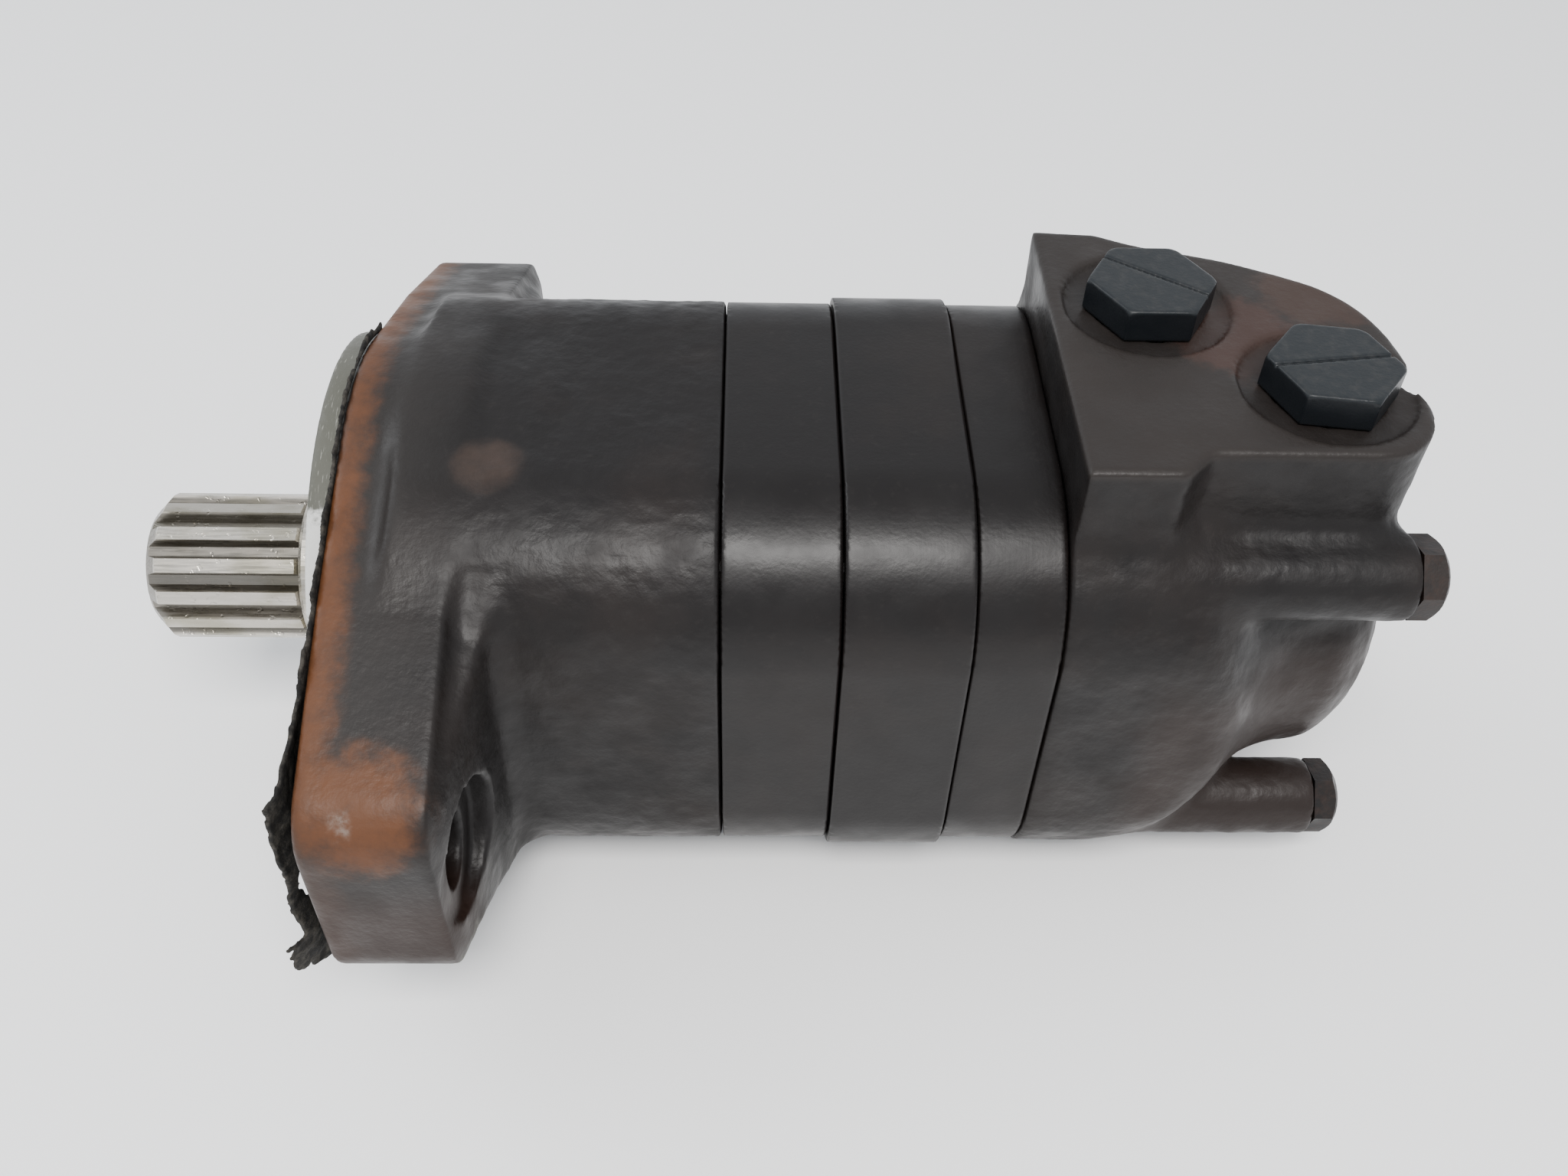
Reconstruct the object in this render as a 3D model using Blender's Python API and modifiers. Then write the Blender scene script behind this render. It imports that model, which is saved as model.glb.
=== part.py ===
"""An orbital hydraulic motor with a disc valve, built as its separate pieces.

X is the shaft's axis, and the shaft's free end points to -X. The origin is on that axis, in the
plane of the mounting flange's front face. +Z points out of the port face, and the two ears of the
flange lie along Y. All sizes are in metres.
"""

import math

import bmesh
import bpy
from mathutils import Matrix, Vector

GAP = 0.0003
EPS = 0.002

# Sections of the body along the axis
PILOT_HEIGHT = 0.0055
PILOT_RADIUS = 0.0508
FLANGE_THICKNESS = 0.0230
WEB_END = 0.0300
WEB_TIP_AT = 0.0520
WEB_TIP_RADIUS = 0.0080
HOUSING_END = 0.0715
WEAR_END = 0.0940
GEROLER_END = 0.1183
PLATE_END = 0.1350
SQUARE_END = 0.1500
BOSS_END = 0.2005

# The valve housing's turned rear, as (x, radius): a shoulder, a waist and a shallow dome
REAR_PROFILE = (
    (0.1330, 0.0700),
    (0.1480, 0.0612),
    (0.1560, 0.0584),
    (0.1655, 0.0542),
    (0.1714, 0.0495),
    (0.1770, 0.0437),
    (0.1830, 0.0393),
    (0.1900, 0.0370),
    (0.1965, 0.0360),
    (0.2005, 0.0330),
    (0.2050, 0.0280),
    (0.2100, 0.0175),
    (0.2132, 0.0080),
)

# Rounded square body
BODY_HALF = 0.0495
RING_HALF = 0.0504
BODY_CORNER = 0.0280

# Two-bolt flange
FLANGE_RADIUS = 0.0520
EAR_CENTRE = 0.0745
EAR_SPREAD = 0.0140
EAR_RADIUS = 0.0125
MOUNT_HOLE_AT = 0.0730
MOUNT_HOLE_RADIUS = 0.00715
SPOT_RADIUS = 0.0135
GASKET_FRONT = -0.0011
GASKET_TEAR = ((0.030, -0.08), (0.10, -0.08), (0.10, 0.08), (0.024, 0.08))

# Cap screws
SCREW_AT = 0.0348
SCREW_SHANK = 0.0047
SCREW_HOLE = 0.0052
SCREW_THREAD_START = 0.0480
SCREW_HEAD_HEIGHT = 0.0056
SCREW_HEAD_FLATS = 0.0143
BOSS_RADIUS = 0.0083

# Port block
PORT_FACE = 0.0630
PORT_FRONT_HALF = 0.0385
PORT_BORE = 0.0105
PORT_DEPTH = 0.0220
PORT_SPOT_RADIUS = 0.0165
PORT_SPOT_DEPTH = 0.0015
PORTS = ((0.1545, 0.0125), (0.1835, -0.0130))
PLUG_BODY = 0.0100
PLUG_FLATS = 0.0222
PLUG_HEX_HEIGHT = 0.0068
PLUG_DEPTH = 0.0140
PLUG_TURNS = (math.radians(0), math.radians(-8))

# Output shaft and its bearings
SHAFT_TIP = -0.0500
SPLINE_TEETH = 14
SPLINE_MAJOR = 0.01575
SPLINE_MINOR = 0.01330
SPLINE_LENGTH = 0.0330
SPLINE_TURN = math.radians(6.9)
SPLINE_CHAMFER = 0.0032
SEAL_JOURNAL = 0.0175
CONE_JOURNAL = 0.0190
SHAFT_BODY = 0.0270
SHAFT_END = 0.0620
FRONT_BEARING = (0.0135, 0.0275)
REAR_BEARING = (0.0470, 0.0600)
CAGE_ROLLERS = 16
SEAL_BORE = 0.0235
FRONT_BORE = 0.0260
BEARING_BORE = 0.0320
REAR_BORE = 0.0370
BORE_MARGIN = 0.0010

# Inner splines that join the drives to the shaft, the star and the valve
DRIVE_TEETH = 12
SOCKET_MAJOR = 0.0136
SOCKET_MINOR = 0.0118
DRIVE_MAJOR = 0.0127
DRIVE_MINOR = 0.0109
DRIVE_SHANK = 0.0085
VALVE_DRIVE_SHANK = 0.0075
SPACER_RADIUS = 0.0070
MAIN_DRIVE = (0.0480, 0.1010)
VALVE_DRIVE = (0.1130, 0.1430)
MAIN_CROWN = 0.0050
VALVE_CROWN = 0.0036

# Geroler gear set: a star with one lobe fewer than there are rollers
ROLLERS = 7
ECCENTRICITY = 0.0027
ROLLER_PITCH = 0.0325
ROLLER_RADIUS = 0.0075
ROLLER_PLAY = 0.00016
RING_BORE = 0.0311
WEAR_BORE = 0.0185

# Valve end
VALVE_CHAMBER = 0.0360
CHAMBER_END = 0.1740
VALVE_RADIUS = 0.0315
DISC_VALVE = (0.1360, 0.1500)
BALANCE_RING = (0.1510, 0.1610)
SPRING = (0.1620, 0.1730)
DRAIN_THREAD = 0.0050
DRAIN_AT = 0.1450
DRAIN_HEAD_RADIUS = 0.0085
PLATE_BORE = 0.0140
TIMING_HOLES_AT = 0.0270
TIMING_HOLE_RADIUS = 0.0026
WINDOWS_AT = 0.0250
WINDOW_RADIUS = 0.0032

# Seals between the sections
SEAL_INNER = 0.0413
SEAL_OUTER = 0.0435
SEAL_GROOVE_DEPTH = 0.0016

COARSE = 32
FINE = 56

TO_X = Matrix(((0, 0, 1, 0), (1, 0, 0, 0), (0, 1, 0, 0), (0, 0, 0, 1)))


def clear_scene():
    for old in list(bpy.data.objects):
        bpy.data.objects.remove(old, do_unlink=True)


def collection(name, hidden=False):
    made = bpy.data.collections.new(name)
    made.hide_render = hidden
    bpy.context.scene.collection.children.link(made)
    return made


clear_scene()
PARTS = collection("hydraulic_motor")
CUTTERS = collection("cutters", hidden=True)


def material(name, colour, roughness, metallic):
    made = bpy.data.materials.new(name)
    made.use_nodes = True
    shader = made.node_tree.nodes["Principled BSDF"]
    shader.inputs["Base Color"].default_value = (*colour, 1.0)
    shader.inputs["Roughness"].default_value = roughness
    shader.inputs["Metallic"].default_value = metallic
    return made


CAST_PAINT = material("cast_paint", (0.035, 0.032, 0.030), 0.45, 0.2)
SMOOTH_PAINT = material("smooth_paint", (0.040, 0.037, 0.036), 0.38, 0.2)
PLUG_PAINT = material("plug_paint", (0.045, 0.055, 0.065), 0.40, 0.2)
SHAFT_STEEL = material("shaft_steel", (0.52, 0.50, 0.46), 0.30, 1.0)
INNER_STEEL = material("inner_steel", (0.60, 0.60, 0.62), 0.25, 1.0)
SEAL_RUBBER = material("seal_rubber", (0.02, 0.02, 0.02), 0.70, 0.0)
GASKET_PAPER = material("gasket_paper", (0.06, 0.06, 0.05), 0.85, 0.0)


def place(name, mesh, finish, origin=(0.0, 0.0, 0.0)):
    """Adds a mesh given in world space, and puts the object's origin where its joint needs it."""
    mesh.transform(Matrix.Translation(-Vector(origin)))
    made = bpy.data.objects.new(name, mesh)
    made.location = origin
    PARTS.objects.link(made)
    if finish is None:
        return made
    mesh.materials.clear()
    mesh.materials.append(finish)
    mesh.shade_smooth()
    mesh.set_sharp_from_angle(angle=math.radians(35))
    return made


def as_cutter(obj):
    PARTS.objects.unlink(obj)
    CUTTERS.objects.link(obj)
    obj.hide_render = True
    obj.display_type = "WIRE"
    return obj


def boolean(obj, other, operation):
    step = obj.modifiers.new(operation.lower(), "BOOLEAN")
    step.operation = operation
    step.solver = "EXACT"
    step.object = as_cutter(other)


def cut(obj, *others):
    for other in others:
        boolean(obj, other, "DIFFERENCE")


def join(obj, *others):
    for other in others:
        boolean(obj, other, "UNION")


def baked(obj):
    """The evaluated mesh of a helper object, which is then removed."""
    bpy.context.view_layer.update()
    graph = bpy.context.evaluated_depsgraph_get()
    mesh = bpy.data.meshes.new_from_object(obj.evaluated_get(graph))
    mesh.transform(obj.matrix_world)
    bpy.data.objects.remove(obj, do_unlink=True)
    return mesh


def welded(mesh):
    shape = bmesh.new()
    shape.from_mesh(mesh)
    bmesh.ops.remove_doubles(shape, verts=shape.verts, dist=1e-7)
    bmesh.ops.recalc_face_normals(shape, faces=shape.faces)
    shape.to_mesh(mesh)
    shape.free()
    return mesh


def prism(name, outline, start, end, finish=None, origin=(0.0, 0.0, 0.0)):
    """A flat outline of (y, z) points, extruded from one x to another."""
    data = bpy.data.curves.new(name, "CURVE")
    data.dimensions = "2D"
    data.fill_mode = "BOTH"
    data.extrude = (end - start) / 2
    spline = data.splines.new("POLY")
    spline.points.add(len(outline) - 1)
    for point, (y, z) in zip(spline.points, outline):
        point.co = (y, z, 0.0, 1.0)
    spline.use_cyclic_u = True
    helper = bpy.data.objects.new(name + "_outline", data)
    helper.matrix_world = Matrix.Translation(((start + end) / 2, 0, 0)) @ TO_X
    PARTS.objects.link(helper)
    return place(name, welded(baked(helper)), finish, origin)


def turned(name, profile, steps=COARSE, finish=None, origin=(0.0, 0.0, 0.0), ring=True):
    """A profile of (x, radius) points turned about the X axis, ring or solid to the axis."""
    mesh = bpy.data.meshes.new(name)
    shape = bmesh.new()
    points = [shape.verts.new((radius, 0.0, x)) for x, radius in profile]
    for first, second in zip(points, points[1:]):
        shape.edges.new((first, second))
    if ring:
        shape.edges.new((points[-1], points[0]))
    shape.to_mesh(mesh)
    shape.free()
    helper = bpy.data.objects.new(name + "_profile", mesh)
    helper.matrix_world = TO_X
    PARTS.objects.link(helper)
    screw = helper.modifiers.new("turn", "SCREW")
    screw.steps = steps
    screw.render_steps = steps
    screw.use_merge_vertices = True
    screw.merge_threshold = 1e-6
    return place(name, welded(baked(helper)), finish, origin)


def solid(name, profile, steps=COARSE, finish=None, origin=(0.0, 0.0, 0.0)):
    """A turned solid, whose profile runs along +X and is closed onto the axis at both ends."""
    ends = [(profile[0][0], 0.0)] + list(profile) + [(profile[-1][0], 0.0)]
    return turned(name, ends, steps, finish, origin, ring=False)


def tube(name, start, end, inner, outer, steps=COARSE, finish=None):
    return turned(name, [(start, inner), (start, outer), (end, outer), (end, inner)], steps, finish)


def rod(name, start, end, radius, at=(0.0, 0.0), steps=COARSE, finish=None):
    """A round bar along X at (y, z)."""
    made = solid(name, [(start, radius), (end, radius)], steps, finish)
    made.data.transform(Matrix.Translation((0.0, *at)))
    return made


def upright(name, at, bottom, top, radius, steps=COARSE):
    """A round bar along Z at (x, y)."""
    shape = bmesh.new()
    bmesh.ops.create_cone(
        shape, cap_ends=True, segments=steps, radius1=radius, radius2=radius, depth=top - bottom
    )
    mesh = bpy.data.meshes.new(name)
    shape.to_mesh(mesh)
    shape.free()
    mesh.transform(Matrix.Translation((*at, (top + bottom) / 2)))
    return place(name, mesh, None)


def corners():
    return [(SCREW_AT * sy, SCREW_AT * sz) for sy in (-1, 1) for sz in (1, -1)]


def rounded_square(half, corner, steps=6):
    outline = []
    for quarter in range(4):
        turn = quarter * math.pi / 2
        for step in range(steps + 1):
            angle = step / steps * math.pi / 2
            y = half - corner + corner * math.cos(angle)
            z = half - corner + corner * math.sin(angle)
            outline.append(
                (y * math.cos(turn) - z * math.sin(turn), y * math.sin(turn) + z * math.cos(turn))
            )
    return outline


def hull_of_circles(circles, steps=72):
    """The outline round a group of (y, z, radius) circles, as a tight belt would lie."""
    outline = []
    for step in range(steps):
        angle = 2 * math.pi * (step + 0.5) / steps
        along, up = math.cos(angle), math.sin(angle)
        y, z, radius = max(circles, key=lambda c: c[0] * along + c[1] * up + c[2])
        outline.append((y + radius * along, z + radius * up))
    return outline


def flange_outline(shrink=0.0):
    circles = [(0.0, 0.0, FLANGE_RADIUS - shrink)]
    for side in (-1, 1):
        for spread in (-EAR_SPREAD, EAR_SPREAD):
            circles.append((side * EAR_CENTRE, spread, EAR_RADIUS - shrink))
    return hull_of_circles(circles)


def spline_outline(teeth, minor, major, land=0.26, root=0.30, turn=0.0):
    """Straight-flanked teeth: land and root are the shares of a pitch at the tip and the root."""
    outline = []
    pitch = 2 * math.pi / teeth
    for tooth in range(teeth):
        middle = tooth * pitch + turn
        for share, radius in (
            (-0.5 + root / 2, minor),
            (-land / 2, major),
            (land / 2, major),
            (0.5 - root / 2, minor),
        ):
            angle = middle + share * pitch
            outline.append((radius * math.cos(angle), radius * math.sin(angle)))
    return outline


def hexagon(flats, turn=0.0):
    radius = flats / math.sqrt(3)
    angles = [turn + math.pi / 3 * k for k in range(6)]
    return [(radius * math.cos(a), radius * math.sin(a)) for a in angles]


def loft(name, first, second, start, end):
    """A closed body between two outlines with the same number of (y, z) points."""
    shape = bmesh.new()
    rings = []
    for outline, x in ((first, start), (second, end)):
        rings.append([shape.verts.new((x, y, z)) for y, z in outline])
        shape.faces.new(rings[-1])
    count = len(first)
    for k in range(count):
        step = (k + 1) % count
        shape.faces.new((rings[0][k], rings[0][step], rings[1][step], rings[1][k]))
    bmesh.ops.recalc_face_normals(shape, faces=shape.faces)
    mesh = bpy.data.meshes.new(name)
    shape.to_mesh(mesh)
    shape.free()
    return place(name, mesh, None)


def screw_holes(piece, start, end, radius=SCREW_HOLE):
    for number, at in enumerate(corners(), 1):
        cut(piece, rod(f"{piece.name}_hole_{number}", start, end, radius, at, 16))


def seal_groove(piece, face):
    """A ring groove cut forwards from a section's rear face."""
    cut(
        piece,
        tube(f"{piece.name}_groove", face - SEAL_GROOVE_DEPTH, face + EPS, SEAL_INNER, SEAL_OUTER),
    )


def bearing_housing():
    """The front casting: pilot, two-eared flange with sloped webs, square body and bearing bores."""
    body = prism(
        "bearing_housing",
        rounded_square(BODY_HALF, BODY_CORNER),
        FLANGE_THICKNESS / 2,
        HOUSING_END - GAP,
        CAST_PAINT,
    )
    flange = prism("flange_plate", flange_outline(), 0.0, FLANGE_THICKNESS)
    web_foot = flange_outline(shrink=0.0008)
    tips = [(side * WEB_TIP_AT, 0.0, WEB_TIP_RADIUS) for side in (-1, 1)]
    web_top = hull_of_circles([(0.0, 0.0, FLANGE_RADIUS - 0.0004)] + tips)
    web = loft("flange_web", web_foot, web_top, FLANGE_THICKNESS - 0.001, WEB_END)
    pilot = solid(
        "pilot",
        [
            (-PILOT_HEIGHT, PILOT_RADIUS - 0.001),
            (-PILOT_HEIGHT + 0.001, PILOT_RADIUS),
            (0.004, PILOT_RADIUS),
        ],
        FINE,
    )
    join(body, flange, web, pilot)
    for side in (-1, 1):
        at = (side * MOUNT_HOLE_AT, 0.0)
        cut(body, rod(f"mount_hole_{side}", -EPS, WEB_END + EPS, MOUNT_HOLE_RADIUS, at, 24))
        seat = FLANGE_THICKNESS - 0.0003
        cut(body, rod(f"mount_spot_{side}", seat, WEB_END + EPS, SPOT_RADIUS, at, 24))
    bore = solid(
        "bearing_bores",
        [
            (-PILOT_HEIGHT - EPS, SEAL_BORE),
            (0.0, SEAL_BORE),
            (0.0, FRONT_BORE),
            (FRONT_BEARING[0] - BORE_MARGIN, FRONT_BORE),
            (FRONT_BEARING[0] - BORE_MARGIN, BEARING_BORE),
            (REAR_BEARING[0] - BORE_MARGIN, BEARING_BORE),
            (REAR_BEARING[0] - BORE_MARGIN, REAR_BORE),
            (HOUSING_END + EPS, REAR_BORE),
        ],
        40,
    )
    cut(body, bore)
    screw_holes(body, SCREW_THREAD_START, HOUSING_END + EPS)
    seal_groove(body, HOUSING_END - GAP)


def mounting_gasket():
    """A thin sheet on the flange face, round the pilot, torn away at the far ear."""
    outline = flange_outline(shrink=0.0006)
    sheet = prism("mounting_gasket", outline, GASKET_FRONT, -GAP, GASKET_PAPER)
    cut(
        sheet,
        rod("gasket_pilot_hole", -0.01, 0.01, PILOT_RADIUS + GAP, steps=FINE),
        rod("gasket_bolt_hole", -0.01, 0.01, MOUNT_HOLE_RADIUS + 0.0006, (-MOUNT_HOLE_AT, 0.0), 24),
        prism("gasket_tear", GASKET_TEAR, -0.01, 0.01),
    )


def shaft_seals():
    tube("dust_seal", -0.0050, -0.0005, SEAL_JOURNAL + GAP, SEAL_BORE - GAP, COARSE, SEAL_RUBBER)
    tube("shaft_seal", 0.0003, 0.0085, SEAL_JOURNAL + GAP, FRONT_BORE - GAP, COARSE, SEAL_RUBBER)
    backup = (SEAL_JOURNAL + GAP, FRONT_BORE - GAP)
    tube("seal_backup_ring", 0.0088, 0.0110, *backup, COARSE, INNER_STEEL)


def bearing(name, span, inner, outer):
    """An inner ring on the shaft, a cage full of rollers that turns between, and an outer ring."""
    ring = 0.0035
    tube(f"{name}_inner_ring", *span, inner + GAP / 2, inner + ring, COARSE, INNER_STEEL)
    tube(f"{name}_outer_ring", *span, outer - ring, outer - GAP, COARSE, INNER_STEEL)
    low = inner + ring + GAP
    high = outer - ring - GAP
    margin = 0.0012
    rollers = prism(
        f"{name}_rollers",
        spline_outline(CAGE_ROLLERS, high - 0.0007, high, land=0.45, root=0.25),
        span[0] + margin,
        span[1] - margin,
        INNER_STEEL,
    )
    cut(rollers, rod(f"{name}_rollers_bore", span[0] - EPS, span[1] + EPS, low))


def spline_socket(name, start, end):
    """The cutter of the 12-tooth inner spline that a drive's end turns in."""
    outline = spline_outline(DRIVE_TEETH, SOCKET_MINOR, SOCKET_MAJOR, land=0.44, root=0.24)
    return prism(name, outline, start, end)


def output_shaft():
    """The turned shaft: external spline, seal and bearing journals, and a spline socket inside."""
    spline_end = SHAFT_TIP + SPLINE_LENGTH
    shaft = solid(
        "output_shaft",
        [
            (spline_end - 0.004, SPLINE_MINOR - 0.0002),
            (spline_end, SPLINE_MINOR - 0.0002),
            (spline_end, SEAL_JOURNAL - 0.0008),
            (spline_end + 0.0008, SEAL_JOURNAL),
            (FRONT_BEARING[0] - 0.0015, SEAL_JOURNAL),
            (FRONT_BEARING[0] - 0.0015, CONE_JOURNAL),
            (FRONT_BEARING[1] + 0.0005, CONE_JOURNAL),
            (FRONT_BEARING[1] + 0.0005, SHAFT_BODY),
            (SHAFT_END, SHAFT_BODY),
        ],
        40,
        SHAFT_STEEL,
    )
    teeth = prism(
        "shaft_spline",
        spline_outline(SPLINE_TEETH, SPLINE_MINOR, SPLINE_MAJOR, 0.42, 0.34, SPLINE_TURN),
        SHAFT_TIP,
        spline_end + 0.0004,
    )
    envelope = solid(
        "shaft_spline_chamfer",
        [
            (SHAFT_TIP, SPLINE_MINOR - 0.0008),
            (SHAFT_TIP + SPLINE_CHAMFER, SPLINE_MAJOR + 0.0002),
            (spline_end - 0.0014, SPLINE_MAJOR + 0.0002),
            (spline_end + 0.0004, SPLINE_MAJOR - 0.0016),
        ],
        40,
    )
    boolean(teeth, envelope, "INTERSECT")
    join(shaft, teeth)
    socket_start = MAIN_DRIVE[0] - 0.008
    cut(shaft, spline_socket("shaft_socket", socket_start, SHAFT_END + EPS))


def thrust_washer():
    tube("thrust_washer", SHAFT_END + GAP, SHAFT_END + 0.0028, 0.0160, SHAFT_BODY, COARSE, INNER_STEEL)


def dogbone(name, span, crown, shank):
    """A short drive shaft with a barrel-crowned spline at each end, leaning by the eccentricity."""
    start, end = span
    middle = (start + end) / 2
    length = end - start
    reach = length / 2 + crown
    bar = solid(
        name,
        [
            (-reach, DRIVE_MINOR - 0.0012),
            (-reach + 0.001, DRIVE_MINOR - 0.0002),
            (-reach + 2 * crown, DRIVE_MINOR - 0.0002),
            (-reach + 2 * crown + 0.002, shank),
            (reach - 2 * crown - 0.002, shank),
            (reach - 2 * crown, DRIVE_MINOR - 0.0002),
            (reach - 0.001, DRIVE_MINOR - 0.0002),
            (reach, DRIVE_MINOR - 0.0012),
        ],
        24,
        INNER_STEEL,
    )
    for side in (-1, 1):
        centre = side * length / 2
        teeth = prism(
            f"{name}_teeth_{side}",
            spline_outline(DRIVE_TEETH, DRIVE_MINOR, DRIVE_MAJOR, land=0.22, root=0.44),
            centre - crown + 0.0004,
            centre + crown - 0.0004,
        )
        join(bar, teeth)
    return bar, middle, length


def lean(bar, middle, length, shaft_end_first):
    """Puts a drive between a centre on the motor's axis and the star's offset centre."""
    tilt = math.asin(ECCENTRICITY / length)
    turn = tilt if shaft_end_first else -tilt
    bar.rotation_euler = (0.0, 0.0, turn)
    bar.location = (middle, ECCENTRICITY / 2, 0.0)
    for step in bar.modifiers:
        step.object.rotation_euler = bar.rotation_euler
        step.object.location = bar.location


def drives():
    bar, middle, length = dogbone("main_drive", MAIN_DRIVE, MAIN_CROWN, DRIVE_SHANK)
    lean(bar, middle, length, shaft_end_first=True)
    bar, middle, length = dogbone("valve_drive", VALVE_DRIVE, VALVE_CROWN, VALVE_DRIVE_SHANK)
    lean(bar, middle, length, shaft_end_first=False)
    spacer_end = (VALVE_DRIVE[0] - VALVE_CROWN, MAIN_DRIVE[1] + MAIN_CROWN)
    spacer = rod(
        "drive_spacer",
        spacer_end[1] + 0.0008,
        spacer_end[0] - 0.0008,
        SPACER_RADIUS,
        steps=24,
        finish=INNER_STEEL,
    )
    spacer.data.transform(Matrix.Translation((0.0, ECCENTRICITY, 0.0)))


def wear_plate():
    plate = prism(
        "wear_plate", rounded_square(BODY_HALF, BODY_CORNER), HOUSING_END, WEAR_END - GAP, SMOOTH_PAINT
    )
    cut(plate, rod("wear_plate_bore", HOUSING_END - EPS, WEAR_END + EPS, WEAR_BORE))
    screw_holes(plate, HOUSING_END - EPS, WEAR_END + EPS)
    seal_groove(plate, WEAR_END - GAP)


def star_outline(points=120, steps=2400):
    """The curve that stays a roller's radius inside the path of a roller seen from the star."""
    reach = ROLLER_RADIUS + ROLLER_PLAY
    outline = []
    for k in range(steps):
        t = 2 * math.pi * k / steps
        y = ROLLER_PITCH * math.cos(t) - ECCENTRICITY * math.cos(ROLLERS * t)
        z = ROLLER_PITCH * math.sin(t) - ECCENTRICITY * math.sin(ROLLERS * t)
        dy = -ROLLER_PITCH * math.sin(t) + ROLLERS * ECCENTRICITY * math.sin(ROLLERS * t)
        dz = ROLLER_PITCH * math.cos(t) - ROLLERS * ECCENTRICITY * math.cos(ROLLERS * t)
        size = math.hypot(dy, dz)
        outline.append((y - reach * dz / size, z + reach * dy / size))
    return evenly_spaced(outline, points)


def evenly_spaced(outline, points):
    """Points the same way apart along a closed outline."""
    ends = outline[1:] + outline[:1]
    lengths = [math.dist(a, b) for a, b in zip(outline, ends)]
    spacing = sum(lengths) / points
    chosen = []
    travelled = 0.0
    for point, length in zip(outline, lengths):
        if travelled >= spacing * len(chosen) and len(chosen) < points:
            chosen.append(point)
        travelled += length
    return chosen


def geroler():
    """The fixed ring, seven rollers in its pockets and the star that rolls inside them."""
    start, end = WEAR_END, GEROLER_END - GAP
    ring = prism("geroler_ring", rounded_square(RING_HALF, BODY_CORNER), start, end, CAST_PAINT)
    cut(ring, rod("geroler_bore", start - EPS, end + EPS, RING_BORE, steps=FINE))
    for k in range(ROLLERS):
        angle = 2 * math.pi * k / ROLLERS
        at = (ROLLER_PITCH * math.cos(angle), ROLLER_PITCH * math.sin(angle))
        pocket = ROLLER_RADIUS + 2 * ROLLER_PLAY
        cut(ring, rod(f"pocket_{k + 1}", start - EPS, end + EPS, pocket, at, 24))
        name = f"roller_{k + 1}"
        roller = rod(name, start + GAP, end - GAP, ROLLER_RADIUS, steps=24, finish=INNER_STEEL)
        roller.location = (0.0, *at)
    screw_holes(ring, start - EPS, end + EPS)
    seal_groove(ring, end)
    centre = (0.0, ECCENTRICITY, 0.0)
    star = prism("geroler_star", star_outline(), start + GAP, end - GAP, INNER_STEEL)
    cut(star, spline_socket("star_socket", start - EPS, end + EPS))
    star.location = centre
    star.modifiers[0].object.location = centre


def valve_plate():
    start, end = GEROLER_END, PLATE_END - GAP
    plate = prism("valve_plate", rounded_square(BODY_HALF, BODY_CORNER), start, end, SMOOTH_PAINT)
    cut(plate, rod("valve_plate_bore", start - EPS, end + EPS, PLATE_BORE))
    for k in range(ROLLERS):
        angle = 2 * math.pi * (k + 0.5) / ROLLERS
        at = (TIMING_HOLES_AT * math.cos(angle), TIMING_HOLES_AT * math.sin(angle))
        cut(plate, rod(f"timing_hole_{k + 1}", start - EPS, end + EPS, TIMING_HOLE_RADIUS, at, 10))
    screw_holes(plate, start - EPS, end + EPS)
    seal_groove(plate, end)


def arc(centre, radius, degrees):
    turns = [math.radians(angle) for angle in degrees]
    return [(centre[0] + radius * math.cos(a), centre[1] + radius * math.sin(a)) for a in turns]


def port_outline():
    """The port block seen from above, as (x, y) points: straight front, stepped side, round rear."""
    outline = [(PLATE_END, -PORT_FRONT_HALF), (PLATE_END, PORT_FRONT_HALF), (0.1490, 0.0373)]
    outline.append((0.1720, 0.0288))
    outline += arc((0.1745, -0.0010), 0.0255, (60, 45, 28, 12))
    outline += arc((0.1880, -0.0190), 0.0135, (5, -20, -45, -70, -90))
    narrow = outline[-1][1]
    step = PORT_FRONT_HALF + narrow
    for k in range(7):
        share = k / 6
        fall = step * (1 - math.cos(math.pi * share)) / 2
        outline.append((0.1585 - 0.0070 * share, narrow - fall))
    return outline


def valve_housing():
    """The rear casting: square foot, coned waist, four long bosses and the port block."""
    square = prism(
        "valve_housing", rounded_square(BODY_HALF, BODY_CORNER), PLATE_END, SQUARE_END, CAST_PAINT
    )
    waist = prism("waist", rounded_square(BODY_HALF - 0.0001, BODY_CORNER), PLATE_END + 0.001, 0.2150)
    boolean(waist, solid("rear_profile", REAR_PROFILE, FINE), "INTERSECT")
    join(square, waist)
    for number, at in enumerate(corners(), 1):
        join(square, rod(f"boss_{number}", PLATE_END + 0.002, BOSS_END, BOSS_RADIUS, at, 20))
    block = prism("port_block", [(-y, x) for x, y in port_outline()], 0.0220, PORT_FACE)
    block.data.transform(Matrix(((0, 0, 1, 0), (0, -1, 0, 0), (1, 0, 0, 0), (0, 0, 0, 1))))
    welded(block.data)
    join(square, block)
    chamber = rod("valve_chamber", PLATE_END - EPS, CHAMBER_END, VALVE_CHAMBER, steps=40)
    cut(square, chamber)
    for number, at in enumerate(PORTS, 1):
        top = PORT_FACE + EPS
        floor = PORT_FACE - PORT_SPOT_DEPTH
        cut(square, upright(f"port_{number}", at, PORT_FACE - PORT_DEPTH, top, PORT_BORE, 24))
        cut(square, upright(f"port_spot_{number}", at, floor, top, PORT_SPOT_RADIUS, 40))
    cut(square, sideways(rod("drain_hole", 0.0300, BODY_HALF + EPS, DRAIN_THREAD + GAP, steps=16)))
    screw_holes(square, PLATE_END - EPS, BOSS_END + EPS)


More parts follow.
